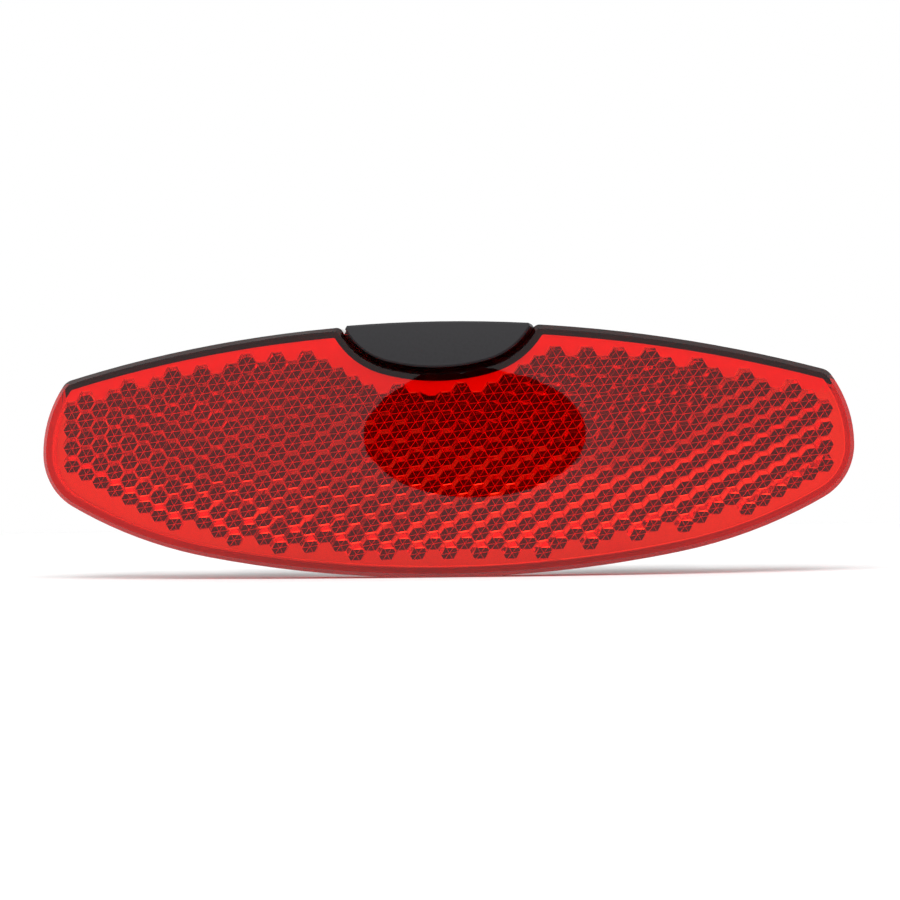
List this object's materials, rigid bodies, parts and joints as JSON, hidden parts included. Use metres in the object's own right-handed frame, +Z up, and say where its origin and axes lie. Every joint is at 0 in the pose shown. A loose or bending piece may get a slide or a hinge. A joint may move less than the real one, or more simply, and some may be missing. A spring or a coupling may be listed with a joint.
{
  "type": "rack reflector",
  "caption": "Bowed red rear reflector for a bicycle rack: clear red lens with a field of corner-cube prisms, pale back cover, black bracket with a half-moon cap, and studs for the rack",
  "frame": {"origin": "middle of the stud pattern on the mounting face, which is the back of the bosses", "axes": "+Z up as mounted, -Y out of the front of the lens, +Y into the rack along the studs, +X to the right seen from the front"},
  "size_m": [0.1138, 0.035, 0.0351],
  "materials": {
    "lens": "polished clear red acrylic",
    "cover": "fine matt moulded",
    "bracket": "fine matt moulded",
    "studs": "zinc plated"
  },
  "bodies": {
    "root": {"lens": "lens", "back_cover": "cover", "bracket": "bracket", "mounting_studs": "studs"}
  },
  "joints": []
}
